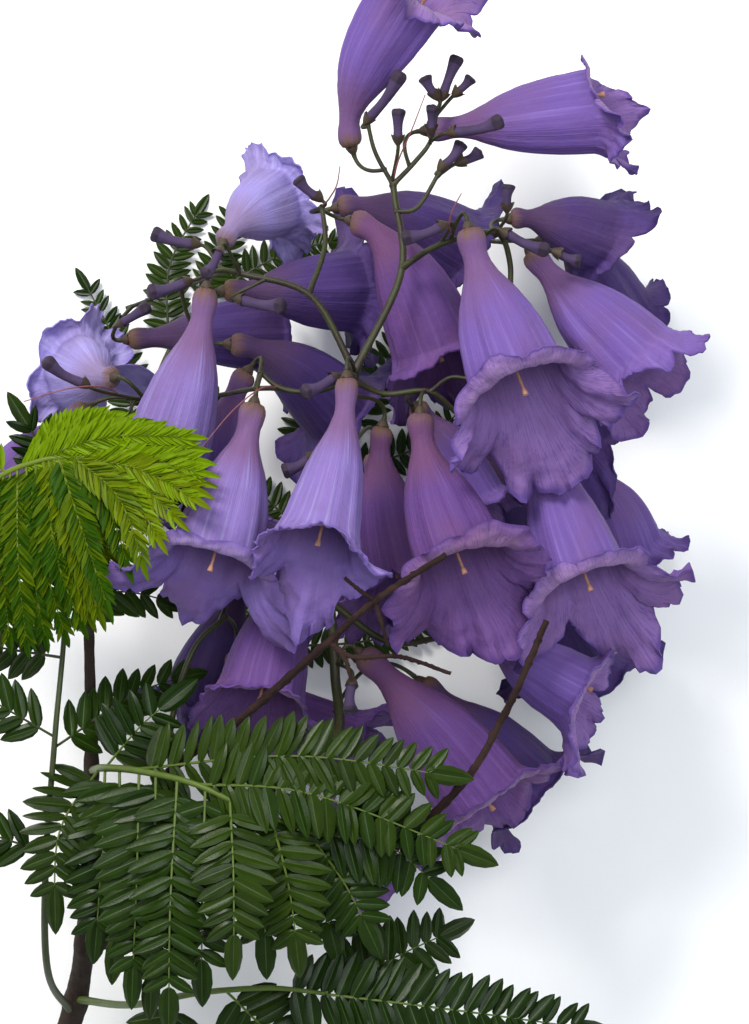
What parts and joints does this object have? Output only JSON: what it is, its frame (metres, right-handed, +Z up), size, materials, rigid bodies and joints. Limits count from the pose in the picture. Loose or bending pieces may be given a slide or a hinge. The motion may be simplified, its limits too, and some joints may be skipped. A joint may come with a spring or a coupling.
{
  "type": "cut flowering branch",
  "caption": "Cut flowering shoot of a tree: woody stem, branched stalk of hanging trumpet blooms and buds, bare old stalks and feathery compound leaves",
  "frame": {"origin": "On the surface that the shoot lies on, under the middle of its outer box.", "axes": "+Z up from the surface, +Y up the length of the shoot from the cut foot of the stem to the tip of the flower stalk, +X to the right of it as it is looked down on."},
  "size_m": [0.1612, 0.252, 0.1076],
  "materials": {
    "bark": "rough dark brown bark",
    "old_bark": "scarred dark brown bark",
    "green_stalk": "matte olive brown skin",
    "petal": "soft lavender violet petal with fine veins",
    "mature_leaf": "dark green leaflets with a slight sheen",
    "young_leaf": "fresh yellow green leaflets"
  },
  "bodies": {
    "root": {"woody_stem": "bark", "old_stalk_long": "old_bark", "old_stalk_short": "old_bark", "flower_stalk": "green_stalk", "leaf_near": "mature_leaf", "leaf_young": "young_leaf", "leaf_left": "mature_leaf", "leaf_low": "mature_leaf", "leaf_back_high": "mature_leaf", "leaf_back_low": "mature_leaf", "bloom_front_left": "petal", "bloom_front_middle": "petal", "bloom_front_right": "petal", "bloom_front_high": "petal", "bloom_front_far_right": "petal", "bloom_front_foot": "petal", "bloom_left_high": "petal", "bloom_left_end": "petal", "bloom_left_star": "petal", "bloom_left_low": "petal", "bloom_left_back": "petal", "bloom_pale_high": "petal", "bloom_dark_left": "petal", "bloom_dark_middle": "petal", "bloom_top": "petal", "bloom_top_right": "petal", "bloom_arching": "petal", "bloom_behind_neck": "petal", "bloom_right_large": "petal", "bloom_right_high": "petal", "bloom_right_back": "petal", "bloom_right_open": "petal", "bloom_right_low": "petal", "bloom_inner_blue": "petal", "bloom_inner_long": "petal", "bloom_inner_round": "petal", "bloom_inner_dark": "petal", "bloom_low_right": "petal", "bloom_low_right_back": "petal", "bloom_foot_back": "petal", "bloom_low_left": "petal", "bloom_low_left_back": "petal", "bloom_low_hooked": "petal", "bloom_low_small": "petal"}
  },
  "joints": []
}
